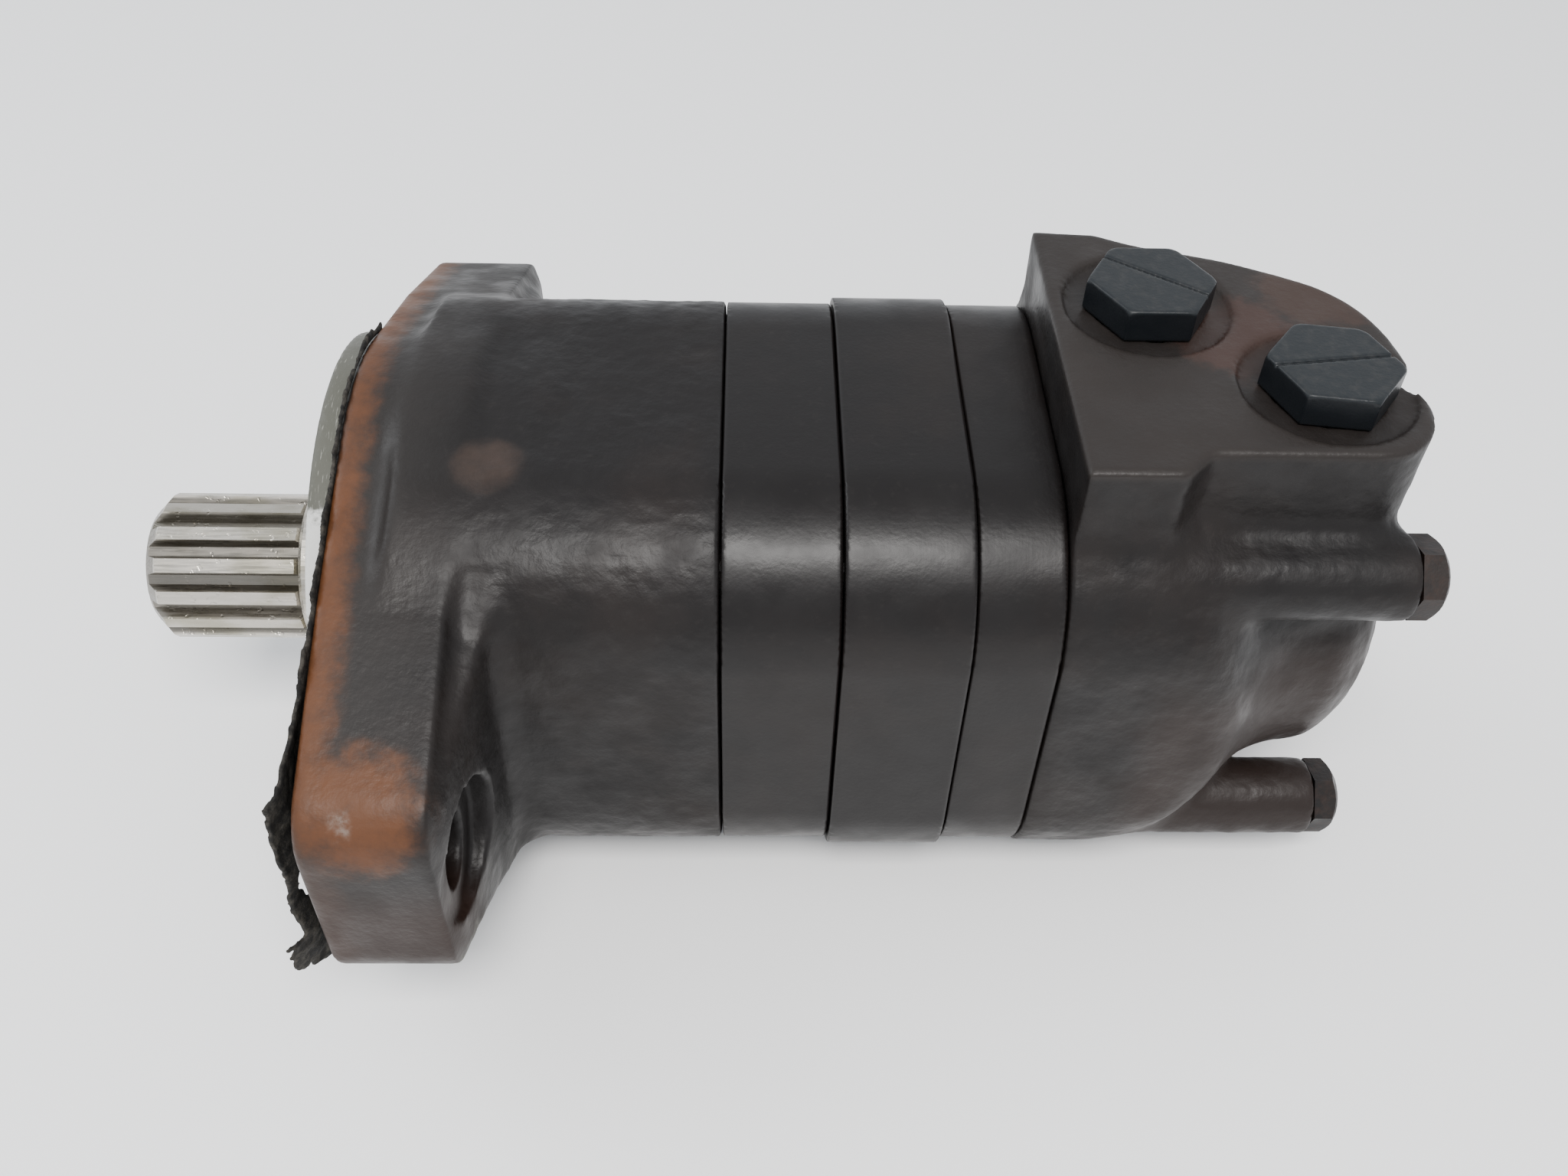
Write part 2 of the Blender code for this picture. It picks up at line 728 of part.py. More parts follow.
def sideways(piece):
    """Turns a piece made along X so that it points along Y at the drain's place."""
    piece.data.transform(Matrix(((0, -1, 0, DRAIN_AT), (1, 0, 0, 0), (0, 0, 1, 0), (0, 0, 0, 1))))
    return piece


def valve_train():
    valve = tube("disc_valve", *DISC_VALVE, 0.0100, VALVE_RADIUS, 40, INNER_STEEL)
    cut(valve, spline_socket("valve_socket", DISC_VALVE[0] - EPS, DISC_VALVE[1] + EPS))
    for k in range(ROLLERS - 1):
        angle = 2 * math.pi * k / (ROLLERS - 1)
        at = (WINDOWS_AT * math.cos(angle), WINDOWS_AT * math.sin(angle))
        start = DISC_VALVE[0]
        cut(valve, rod(f"valve_window_{k + 1}", start - EPS, start + 0.008, WINDOW_RADIUS, at, 12))
    tube("balance_ring", *BALANCE_RING, 0.0160, VALVE_CHAMBER - 0.0008, COARSE, INNER_STEEL)
    tube("balance_spring", *SPRING, 0.0240, 0.0290, COARSE, INNER_STEEL)


def body_seals():
    for number, face in enumerate((HOUSING_END, WEAR_END, GEROLER_END, PLATE_END), 1):
        start = face - GAP - SEAL_GROOVE_DEPTH + GAP / 2
        radii = (SEAL_INNER + GAP, SEAL_OUTER - GAP)
        tube(f"body_seal_{number}", start, face - GAP, *radii, COARSE, SEAL_RUBBER)


def upwards(piece, at, height):
    """Turns a piece made along X so that it points along Z, starting at a height over (x, y)."""
    rows = ((0, -1, 0, at[0]), (0, 0, -1, at[1]), (1, 0, 0, height), (0, 0, 0, 1))
    piece.data.transform(Matrix(rows))
    return piece


def port_plugs():
    """Hexagon head plugs that stand in the ports' spot faces, with a seal ring under each head."""
    floor = PORT_FACE - PORT_SPOT_DEPTH
    for number, (at, turn) in enumerate(zip(PORTS, PLUG_TURNS), 1):
        outline = hexagon(PLUG_FLATS, turn)
        head = prism(f"port_plug_{number}", outline, 0.0, PLUG_HEX_HEIGHT, PLUG_PAINT)
        upwards(head, at, floor + GAP)
        welded(head.data)
        join(head, upright(f"plug_thread_{number}", at, floor - PLUG_DEPTH, floor + 0.002, 0.0082, 24))
        join(head, upright(f"plug_body_{number}", at, floor - PLUG_DEPTH, floor - 0.0028, PLUG_BODY, 24))
        seal = tube(f"plug_seal_{number}", 0.0, 0.0018, 0.0085, PLUG_BODY, 24, SEAL_RUBBER)
        welded(upwards(seal, at, floor - 0.0023).data)


def cap_screws():
    """Long screws whose heads seat on the bosses and whose shanks reach into the front casting."""
    for number, at in enumerate(corners(), 1):
        head = prism(
            f"cap_screw_{number}",
            hexagon(SCREW_HEAD_FLATS, math.pi / 4),
            BOSS_END + GAP,
            BOSS_END + GAP + SCREW_HEAD_HEIGHT,
            CAST_PAINT,
        )
        crown = SCREW_HEAD_FLATS / math.sqrt(3)
        limit = solid(
            f"screw_chamfer_{number}",
            [
                (BOSS_END - EPS, crown + 0.0002),
                (BOSS_END + GAP + SCREW_HEAD_HEIGHT - 0.0018, crown + 0.0002),
                (BOSS_END + GAP + SCREW_HEAD_HEIGHT, crown - 0.0024),
            ],
            24,
        )
        boolean(head, limit, "INTERSECT")
        span = (SCREW_THREAD_START + 0.003, BOSS_END + 0.002)
        join(head, rod(f"screw_shank_{number}", *span, SCREW_SHANK, steps=16))
        for piece in [head] + [step.object for step in head.modifiers]:
            piece.data.transform(Matrix.Translation((0.0, *at)))


def drain_plug():
    """A small screw plug with a round head that closes the drain hole in the far side."""
    head_start = BODY_HALF + 0.0018
    plug = solid(
        "drain_plug",
        [
            (BODY_HALF - 0.0120, DRAIN_THREAD - 0.0004),
            (head_start, DRAIN_THREAD - 0.0004),
            (head_start, DRAIN_HEAD_RADIUS),
            (head_start + 0.0025, DRAIN_HEAD_RADIUS),
            (head_start + 0.0030, DRAIN_HEAD_RADIUS - 0.0005),
        ],
        24,
        PLUG_PAINT,
    )
    socket = prism("drain_socket", hexagon(0.0060), head_start - 0.0010, head_start + 0.0060)
    cut(sideways(plug), sideways(socket))
    seal = (BODY_HALF + GAP, head_start - GAP, DRAIN_THREAD, 0.0078)
    sideways(tube("drain_plug_seal", *seal, 24, SEAL_RUBBER))


bearing_housing()
mounting_gasket()
shaft_seals()
bearing("front_bearing", FRONT_BEARING, CONE_JOURNAL, BEARING_BORE)
bearing("rear_bearing", REAR_BEARING, SHAFT_BODY, REAR_BORE)
output_shaft()
thrust_washer()
drives()
wear_plate()
geroler()
valve_plate()
valve_housing()
valve_train()
body_seals()
port_plugs()
cap_screws()
drain_plug()
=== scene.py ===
"""The looks of an orbital hydraulic motor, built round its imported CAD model.

The castings, the plates, the gasket and the port plugs are made again with their fillets, rounded
edges and grain, and each new piece stands for its CAD node. The other nodes keep their shape and
get finishes. Shapes are worked out in millimetres, as distances sampled on a grid of points, and
are scaled to metres when a mesh is made from them.
"""

import math

import bmesh
import bpy
import numpy as np
import openvdb
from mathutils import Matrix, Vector, noise


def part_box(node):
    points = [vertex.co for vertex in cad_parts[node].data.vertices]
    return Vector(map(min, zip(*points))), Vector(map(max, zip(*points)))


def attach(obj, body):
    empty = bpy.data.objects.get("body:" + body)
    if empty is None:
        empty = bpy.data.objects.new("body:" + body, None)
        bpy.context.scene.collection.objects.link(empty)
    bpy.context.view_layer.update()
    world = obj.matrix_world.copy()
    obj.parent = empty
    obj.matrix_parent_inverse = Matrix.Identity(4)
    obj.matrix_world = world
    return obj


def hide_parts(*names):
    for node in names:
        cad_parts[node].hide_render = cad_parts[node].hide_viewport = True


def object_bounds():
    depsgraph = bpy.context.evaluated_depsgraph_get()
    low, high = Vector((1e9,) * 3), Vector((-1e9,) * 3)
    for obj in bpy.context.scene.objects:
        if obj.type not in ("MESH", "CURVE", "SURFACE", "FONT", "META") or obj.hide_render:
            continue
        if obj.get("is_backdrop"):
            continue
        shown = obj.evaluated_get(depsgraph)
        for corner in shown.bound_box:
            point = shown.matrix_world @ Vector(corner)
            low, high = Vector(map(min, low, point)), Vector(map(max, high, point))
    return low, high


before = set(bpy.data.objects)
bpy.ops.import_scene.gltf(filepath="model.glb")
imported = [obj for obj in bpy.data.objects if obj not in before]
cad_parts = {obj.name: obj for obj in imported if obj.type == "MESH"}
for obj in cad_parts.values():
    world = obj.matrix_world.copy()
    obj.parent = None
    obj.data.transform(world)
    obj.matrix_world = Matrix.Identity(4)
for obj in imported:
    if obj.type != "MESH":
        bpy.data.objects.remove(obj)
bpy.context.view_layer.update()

MM = 0.001
SCREW_HEAD = 5.9
SEAL_GROOVE = (41.3, 43.5)
SEAL_GROOVE_DEPTH = 1.9
PLUG_FLATS = 22.2
PLUG_HEX_HEIGHT = 6.8


def span(node, axis):
    """A CAD node's lowest and highest coordinate along an axis, in millimetres."""
    low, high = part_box(node)
    return low[axis] / MM, high[axis] / MM


# Sizes taken from the CAD model, in millimetres
PILOT_FACE = span("bearing_housing", 0)[0]
HOUSING_LIP = span("bearing_housing", 0)[1]
PLATE_HALF = span("wear_plate", 1)[1]
RING_HALF = span("geroler_ring", 1)[1]
FLANGE_RADIUS = span("bearing_housing", 2)[1]
EAR_REACH = span("bearing_housing", 1)[1]
FOOT = span("valve_housing", 0)[0]
REAR = span("valve_housing", 0)[1]
PORT_FACE = span("valve_housing", 2)[1]
BOSS_END = span("cap_screw_1", 0)[1] - SCREW_HEAD
SCREW_AT = sum(span("cap_screw_1", 2)) / 2
PORTS = [[sum(span(f"port_plug_{k}", axis)) / 2 for axis in (0, 1)] for k in (1, 2)]
CHAMBER_END = span("balance_spring", 0)[1] + 1.0
CHAMBER_RADIUS = span("balance_ring", 1)[1] + 0.8

# Sizes that only the looks need, in millimetres
CAST_STEP = 0.86
VALVE_STEP = 0.76
PLATE_STEP = 0.6
GASKET_STEP = 0.45
PLUG_STEP = 0.32
CORNER = 28.0
FLANGE_BACK = 22.8
WEB_SLOPE = 0.2
WEB_INSET = 3.5
EAR_CORNER = 12.5
EAR_SPREAD = 14.0
MOUNT_HOLE_AT = 73.0
MOUNT_HOLE_RADIUS = 7.2
SPOT_RADIUS = 13.6
SCREW_HOLE = 5.2
BOSS_RADIUS = 8.3
PORT_BORE = 10.5
PORT_SPOT = 16.5
PORT_SPOT_DEPTH = 1.5
PORT_DEPTH = 22.0
DRAIN_HOLE = 5.3
SCREW_HOLES_START = 48.0
POCKET_RADIUS = 7.82
STEPPED_BORE = [(23.5, -20, 0.0), (26.0, 0.0, 12.5), (32.0, 12.5, 46.0), (37.0, 46.0, 90.0)]
WEAR_BORE = 18.5
VALVE_PLATE_BORE = 14.0
RING_BORE = 31.1
PLUG_THREAD = 8.2
PLUG_BODY = 10.0
PILOT_RADIUS = 50.8
CORNERS = [(sy * SCREW_AT, sz * SCREW_AT) for sy in (-1, 1) for sz in (1, -1)]


# ---------------------------------------------------------------------------------------------
# Distances on a grid
# ---------------------------------------------------------------------------------------------


class Grid:
    """Points spaced evenly in a box: x, y and z broadcast against each other."""

    def __init__(self, low, high, step):
        axes = [np.arange(a, b + step, step, dtype=np.float32) for a, b in zip(low, high)]
        self.low = low
        self.step = step
        self.x = axes[0][:, None, None]
        self.y = axes[1][None, :, None]
        self.z = axes[2][None, None, :]

    def around(self, at=(0.0, 0.0)):
        """Distance of each point from a line along X through (y, z)."""
        return np.hypot(self.y - at[0], self.z - at[1])


def between(x, start, end):
    return np.maximum(start - x, x - end)


def fused(a, b, fillet):
    """Both shapes together, with a fillet of that radius where they meet at a right angle."""
    rest = np.maximum(fillet, np.minimum(a, b))
    return rest - np.hypot(np.maximum(fillet - a, 0), np.maximum(fillet - b, 0))


def common(a, b, edge):
    """What the shapes share, with the edge between them rounded to that radius."""
    rest = np.minimum(-edge, np.maximum(a, b))
    return rest + np.hypot(np.maximum(edge + a, 0), np.maximum(edge + b, 0))


def without(a, b, edge=0.3):
    return common(a, -b, edge)


def rounded_square(y, z, half, corner):
    across, up = np.abs(y) - (half - corner), np.abs(z) - (half - corner)
    outside = np.hypot(np.maximum(across, 0), np.maximum(up, 0))
    return outside + np.minimum(np.maximum(across, up), 0) - corner


def belt(y, z, circles, directions=96):
    """Distance from the outline that a tight belt round the (y, z, radius) circles would take."""
    best = None
    for k in range(directions):
        angle = 2 * math.pi * k / directions
        along, up = math.cos(angle), math.sin(angle)
        reach = max(c[0] * along + c[1] * up + c[2] for c in circles)
        distance = y * along + z * up - reach
        best = distance if best is None else np.maximum(best, distance)
    return best


def polygon(px, py, outline):
    """Signed distance from a closed outline, for arrays of points."""
    nearest = np.full(np.broadcast(px, py).shape, 1e9, np.float32)
    inside = np.zeros(nearest.shape, bool)
    for (ax, ay), (bx, by) in zip(outline, outline[1:] + outline[:1]):
        ex, ey = bx - ax, by - ay
        wx, wy = px - ax, py - ay
        share = np.clip((wx * ex + wy * ey) / (ex * ex + ey * ey + 1e-12), 0, 1)
        nearest = np.minimum(nearest, np.hypot(wx - ex * share, wy - ey * share))
        if ay != by:
            crosses = ((ay <= py) != (by <= py)) & (px < ax + (py - ay) * ex / ey)
            inside = inside ^ crosses
    return np.where(inside, -nearest, nearest)


def smooth_curve(points, per_span=8):
    """A Catmull-Rom curve through the points, as more points."""
    points = [np.array(p, float) for p in points]
    ends = [2 * points[0] - points[1]] + points + [2 * points[-1] - points[-2]]
    curve = []
    for k in range(len(points) - 1):
        a, b, c, d = ends[k : k + 4]
        for step in range(per_span):
            t = step / per_span
            square = (2 * a - 5 * b + 4 * c - d) * t**2
            cube = (3 * b - a - 3 * c + d) * t**3
            curve.append(0.5 * (2 * b + (c - a) * t + square + cube))
    return [tuple(p) for p in curve + [points[-1]]]


def turned(grid, outline, reach=95.0):
    """Distance from a solid turned about X, whose (x, radius) outline closes on the axis."""
    radii = np.arange(0, reach, grid.step, dtype=np.float32)
    table = polygon(grid.x[:, 0, 0][:, None], radii[None, :], outline)
    around = grid.around()[0]
    rows = [np.interp(around, radii, row) for row in table]
    return np.stack(rows).astype(np.float32)


def skin(name, grid, distance):
    """A mesh, in metres, of the surface where the distance is zero."""
    limit = 3 * grid.step
    values = np.ascontiguousarray(np.clip(distance, -limit, limit), np.float32)
    volume = openvdb.FloatGrid(limit)
    volume.copyFromArray(values)
    points, triangles, quads = volume.convertToPolygons(isovalue=0.0, adaptivity=0.0)
    points = (points * grid.step + np.array(grid.low)) * MM
    mesh = bpy.data.meshes.new(name)
    mesh.from_pydata(points.tolist(), [], triangles.tolist() + quads.tolist())
    shape = bmesh.new()
    shape.from_mesh(mesh)
    if shape.calc_volume(signed=True) < 0:
        bmesh.ops.reverse_faces(shape, faces=shape.faces)
    shape.to_mesh(mesh)
    shape.free()
    mesh.shade_smooth()
    return mesh


def roughened(mesh, depth, wavelength, where, seed=0.0):
    """Moves each point along its normal by smooth noise, as far as where(points) allows."""
    count = len(mesh.vertices)
    points = np.empty(count * 3, np.float32)
    normals = np.empty(count * 3, np.float32)
    mesh.vertices.foreach_get("co", points)
    mesh.vertices.foreach_get("normal", normals)
    points, normals = points.reshape(-1, 3), normals.reshape(-1, 3)
    shift = Vector((seed, seed * 0.7, -seed))
    size = 1.0 / (wavelength * MM)
    heights = [noise.noise(Vector(p) * size + shift) for p in points.tolist()]
    heights = np.array(heights, np.float32) * where(points / MM)
    points += normals * (heights * depth * MM)[:, None]
    mesh.vertices.foreach_set("co", points.reshape(-1))
    mesh.update()


def added(name, mesh, finish):
    """A piece of the motor's body, made from a mesh in world space."""
    piece = bpy.data.objects.new(name, mesh)
    bpy.context.scene.collection.objects.link(piece)
    mesh.materials.clear()
    mesh.materials.append(finish)
    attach(piece, "housing")
    return piece


def ramp(value, start, end):
    """0 at start and 1 at end, straight between."""
    return np.clip((value - start) / (end - start), 0, 1)


# ---------------------------------------------------------------------------------------------
# Materials
# ---------------------------------------------------------------------------------------------


class Nodes:
    """A Principled material, and short ways to add the nodes that drive it."""

    def __init__(self, name, roughness=0.4, metallic=0.0):
        self.material = bpy.data.materials.new(name)
        self.material.use_nodes = True
        self.tree = self.material.node_tree
        self.shader = self.tree.nodes["Principled BSDF"]
        self.shader.inputs["Roughness"].default_value = roughness
        self.shader.inputs["Metallic"].default_value = metallic
        self.place = self.tree.nodes.new("ShaderNodeTexCoord").outputs["Object"]
        split = self.tree.nodes.new("ShaderNodeSeparateXYZ")
        self.tree.links.new(self.place, split.inputs[0])
        self.x, self.y, self.z = split.outputs

    def link(self, source, target):
        if isinstance(source, (int, float)):
            target.default_value = source
        elif isinstance(source, tuple):
            target.default_value = (*source, 1.0)
        else:
            self.tree.links.new(source, target)

    def math(self, operation, first, second=0.0):
        made = self.tree.nodes.new("ShaderNodeMath")
        made.operation = operation
        self.link(first, made.inputs[0])
        self.link(second, made.inputs[1])
        return made.outputs[0]

    def span(self, value, start, end, low=0.0, high=1.0):
        """value from start to end becomes low to high, and stays there beyond."""
        made = self.tree.nodes.new("ShaderNodeMapRange")
        made.interpolation_type = "SMOOTHSTEP"
        self.link(value, made.inputs["Value"])
        limits = {"From Min": start, "From Max": end, "To Min": low, "To Max": high}
        for socket, number in limits.items():
            made.inputs[socket].default_value = number
        return made.outputs[0]

    def noise(self, wavelength, detail=3.0, roughness=0.5, stretch=(1.0, 1.0, 1.0), shift=0.0):
        """Noise whose blotches are about that many millimetres across."""
        mapping = self.tree.nodes.new("ShaderNodeMapping")
        mapping.inputs["Scale"].default_value = stretch
        mapping.inputs["Location"].default_value = (shift, shift, shift)
        self.link(self.place, mapping.inputs["Vector"])
        made = self.tree.nodes.new("ShaderNodeTexNoise")
        made.inputs["Scale"].default_value = 1.0 / (wavelength * MM)
        made.inputs["Detail"].default_value = detail
        made.inputs["Roughness"].default_value = roughness
        self.link(mapping.outputs[0], made.inputs["Vector"])
        return made.outputs["Fac"]

    def near(self, centre, radius, soft=0.6):
        """1 within a ball round a point in millimetres, fading to 0 at its radius."""
        made = self.tree.nodes.new("ShaderNodeVectorMath")
        made.operation = "DISTANCE"
        self.link(self.place, made.inputs[0])
        made.inputs[1].default_value = [c * MM for c in centre]
        return self.span(made.outputs["Value"], radius * MM, radius * MM * (1 - soft))

    def mix(self, share, first, second):
        made = self.tree.nodes.new("ShaderNodeMix")
        made.data_type = "RGBA"
        self.link(share, made.inputs["Factor"])
        self.link(first, made.inputs["A"])
        self.link(second, made.inputs["B"])
        return made.outputs["Result"]

    def bump(self, height, depth, strength=1.0, under=None):
        made = self.tree.nodes.new("ShaderNodeBump")
        made.inputs["Strength"].default_value = strength
        made.inputs["Distance"].default_value = depth * MM
        self.link(height, made.inputs["Height"])
        if under is not None:
            self.link(under, made.inputs["Normal"])
        return made.outputs[0]

    def axis_distance(self):
        """Distance from the motor's axis, in metres."""
        squares = self.math("ADD", self.math("POWER", self.y, 2), self.math("POWER", self.z, 2))
        return self.math("SQRT", squares)

    def finish(self, colour, roughness=None, normal=None):
        """Drives the shader with what is given, and hands back the material."""
        given = {"Base Color": colour, "Roughness": roughness, "Normal": normal}
        for name, value in given.items():
            if value is not None:
                self.link(value, self.shader.inputs[name])
        return self.material


PAINT_DARK = (0.0050, 0.0040, 0.0039)
PAINT_BROWN = (0.0125, 0.0085, 0.0070)
PAINT_GREY = (0.022, 0.019, 0.017)
RUST = (0.098, 0.036, 0.013)
RUST_DARK = (0.026, 0.013, 0.009)
BARE = (0.46, 0.45, 0.42)
PAINT_SPECULAR = 0.24


class Paint(Nodes):
    """Worn satin paint with a cast or turned grain, ready for wear on top."""

    def __init__(self, name, grain_depth, grain=1.3, brown=0.5, low=0.38, high=0.56):
        super().__init__(name)
        self.shader.inputs["Specular IOR Level"].default_value = PAINT_SPECULAR
        patches = self.span(self.noise(34, 4, 0.6), 0.42, 0.68)
        self.colour = self.mix(self.math("MULTIPLY", patches, brown), PAINT_DARK, PAINT_BROWN)
        fine = self.span(self.noise(2.2, 3, 0.65, shift=3.1), 0.55, 0.80)
        self.tint(self.math("MULTIPLY", fine, 0.20), PAINT_GREY)
        self.roughness = self.span(self.noise(9, 3, shift=1.7), 0.3, 0.7, low, high)
        fine_grain = self.bump(self.noise(grain, 3, 0.55), grain_depth)
        broad = self.noise(grain * 3.4, 2, 0.5, shift=5.0)
        self.normal = self.bump(broad, grain_depth * 1.6, 0.8, fine_grain)

    def tint(self, share, colour):
        self.colour = self.mix(share, self.colour, colour)

    def ragged(self, share, wavelength=3.0, shift=0.0, width=0.5):
        """A share from 0 to 1 whose edge is broken up by noise."""
        broken = self.noise(wavelength, 5, 0.65, shift=shift)
        uneven = self.math("MULTIPLY", self.math("SUBTRACT", broken, 0.5), 1.6)
        total = self.math("ADD", share, uneven)
        within = self.span(share, 0.0, 0.3) if not isinstance(share, float) else 1.0
        return self.math("MULTIPLY", within, self.span(total, 0.5 - width / 2, 0.5 + width / 2))

    def done(self):
        return self.finish(self.colour, self.roughness, self.normal)


def all_of(paint, *shares):
    """The product of the shares."""
    total = shares[0]
    for share in shares[1:]:
        total = paint.math("MULTIPLY", total, share)
    return total


def flange_paint():
    """The bearing casting's paint: rust on the flange's front edge and at the near ear's bend, and
    a light bare spot on the pilot that is partly a painted highlight.
    """
    paint = Paint("flange_paint", 0.10)
    radius = paint.axis_distance()
    near_ear = paint.span(paint.y, -0.066, -0.080)
    upper = paint.span(paint.z, 0.012, 0.034)
    rim = paint.span(radius, 0.0512, 0.0522)
    paint.tint(all_of(paint, paint.span(paint.x, 0.030, 0.004), rim, 0.55), PAINT_GREY)
    edge = paint.ragged(paint.span(paint.x, 0.0090, 0.0), 5.0, 2.0, 1.3)
    paint.tint(all_of(paint, edge, rim, paint.span(upper, 0, 1, 0.20, 0.85)), RUST)
    patch = paint.ragged(paint.near((11, -79, 20), 15), 4.0, 6.0, 1.2)
    paint.tint(all_of(paint, patch, 0.8), RUST)
    scar = paint.ragged(paint.near((8, -80, 19), 6.5), 2.2, 8.0, 1.0)
    paint.tint(all_of(paint, scar, 0.35), BARE)
    ear_face = all_of(paint, near_ear, paint.span(paint.z, 0.012, -0.004))
    paint.tint(all_of(paint, ear_face, 0.6), RUST_DARK)
    worn = paint.ragged(all_of(paint, near_ear, paint.span(paint.z, -0.014, -0.027)), 3.0, 1.0)
    paint.tint(all_of(paint, worn, 0.35), (0.20, 0.21, 0.17))
    rub = paint.ragged(paint.near((28, -22, 47), 9), 5.0, 9.0, 1.6)
    paint.tint(all_of(paint, rub, 0.22), (0.12, 0.075, 0.055))
    fillet = paint.near((24, -34, 40), 22, 0.9)
    paint.tint(all_of(paint, fillet, 0.25), PAINT_BROWN)
    pilot = paint.span(paint.x, -0.0004, -0.0009)
    paint.tint(all_of(paint, pilot, 0.9), (0.085, 0.085, 0.070))
    scrapes = paint.span(paint.noise(0.8, 3, 0.6, (3.0, 0.25, 0.25), 4.0), 0.60, 0.72)
    paint.tint(all_of(paint, pilot, scrapes, 0.7), (0.26, 0.26, 0.23))
    # Partly a bare light spot on the pilot's rim, partly a painted highlight where the rim turns
    # towards the camera.
    bare_spot_and_highlight = paint.ragged(all_of(paint, pilot, paint.near((-5, -36, 36), 15)), 2.5, 3.0)
    paint.tint(all_of(paint, bare_spot_and_highlight, 0.85), (0.62, 0.62, 0.60))
    return paint.done()


def valve_paint():
    """The rear casting's paint: browner on the port face, with a painted brown highlight on the
    lower half from the shoulder back.
    """
    paint = Paint("valve_paint", 0.10)
    top = paint.span(paint.z, 0.0605, 0.0625)
    paint.tint(all_of(paint, top, 0.65), (0.021, 0.017, 0.015))
    between = paint.ragged(paint.near((170, 2, 63), 17), 5.0, 2.0, 0.7)
    paint.tint(all_of(paint, top, between, 0.5), (0.050, 0.024, 0.018))
    far = paint.ragged(paint.near((190, 18, 63), 18), 6.0, 4.0, 0.7)
    paint.tint(all_of(paint, top, far, 0.35), (0.058, 0.030, 0.021))
    # Painted highlight: a brown sheen on the lower half from the shoulder back, where the square
    # foot curves into the taper.
    shoulder = all_of(paint, paint.span(paint.x, 0.150, 0.160), paint.span(paint.z, 0.024, 0.006))
    paint.tint(all_of(paint, shoulder, 0.5), (0.024, 0.015, 0.012))
    return paint.done()


def plate_paint():
    """Paint over turned steel: smoother, with faint rings round the body."""
    paint = Paint("plate_paint", 0.030, grain=0.9, brown=0.35, low=0.32, high=0.44)
    rings = paint.noise(0.6, 2, 0.5, stretch=(1.0, 0.03, 0.03))
    paint.normal = paint.bump(rings, 0.02, 0.5, paint.normal)
    return paint.done()


def screw_paint():
    paint = Paint("screw_paint", 0.05, grain=0.8, brown=0.9)
    paint.tint(all_of(paint, paint.ragged(0.42, 2.0), 0.5), RUST_DARK)
    return paint.done()


def plug_paint():
    paint = Paint("plug_paint", 0.04, grain=0.7, brown=0.1, low=0.30, high=0.45)
    paint.tint(0.75, (0.0050, 0.0068, 0.0088))
    top = paint.span(paint.z, 0.0678, 0.0684)
    paint.tint(all_of(paint, top, 0.7), (0.0105, 0.0130, 0.0150))
    marks = paint.ragged(all_of(paint, top, 0.35), 2.0, 2.0)
    paint.tint(all_of(paint, marks, 0.25), (0.045, 0.042, 0.038))
    return paint.done()


def rubber():
    nodes = Nodes("old_gasket", 0.8)
    nodes.shader.inputs["Specular IOR Level"].default_value = 0.2
    patches = nodes.span(nodes.noise(3.0, 5, 0.7), 0.4, 0.7)
    colour = nodes.mix(patches, (0.008, 0.0075, 0.007), (0.050, 0.045, 0.038))
    return nodes.finish(colour, normal=nodes.bump(nodes.noise(0.9, 4, 0.6), 0.25))


def steel(name, tone, low, high):
    """Bare turned steel with stains and fine lengthwise wear, and painted shade in the spline
    grooves.
    """
    nodes = Nodes(name, 0.3, 1.0)
    stains = nodes.span(nodes.noise(7, 4, 0.6, (0.5, 1.0, 1.0)), 0.42, 0.66)
    colour = nodes.mix(nodes.math("MULTIPLY", stains, 0.55), tone, (0.25, 0.23, 0.15))
    # Painted shade: the spline ahead of the pilot is darkened in its grooves, below the tooth
    # tops.
    painted_root_shade = nodes.span(nodes.axis_distance(), 0.0156, 0.0150)
    groove = nodes.math("MULTIPLY", painted_root_shade, nodes.span(nodes.x, -0.0165, -0.0175))
    colour = nodes.mix(nodes.math("MULTIPLY", groove, 0.72), colour, (0.085, 0.078, 0.066))
    streaks = nodes.noise(0.5, 3, 0.6, (0.06, 1.0, 1.0))
    roughness = nodes.span(streaks, 0.3, 0.7, low, high)
    normal = nodes.bump(streaks, 0.02, 0.6)
    pits = nodes.span(nodes.noise(1.6, 2, 0.5, shift=2.0), 0.30, 0.38)
    dents = nodes.bump(pits, 0.06, 0.7, normal)
    return nodes.finish(colour, roughness, dents)


casting_front = flange_paint()
casting_rear = valve_paint()
plate = plate_paint()
screws = screw_paint()
plugs = plug_paint()
gasket = rubber()
shaft = steel("shaft_steel", (0.50, 0.47, 0.42), 0.22, 0.42)
inner = steel("inner_steel", (0.55, 0.55, 0.56), 0.15, 0.3)


# ---------------------------------------------------------------------------------------------
# The castings
# ---------------------------------------------------------------------------------------------


def flange_circles(grown=0.0):
    circles = [(0.0, 0.0, FLANGE_RADIUS + grown)]
    ear = EAR_REACH - EAR_CORNER
    for sy in (-1, 1):
        circles += [(sy * ear, sz * EAR_SPREAD, EAR_CORNER + grown) for sz in (-1, 1)]
    return circles


def grooved(grid, shape, face):
    """Cuts the seal groove forwards from a section's rear face."""
    inner, outer = SEAL_GROOVE
    ring = np.maximum(inner - grid.around(), grid.around() - outer)
    return np.maximum(shape, -np.maximum(ring, face - SEAL_GROOVE_DEPTH - grid.x))


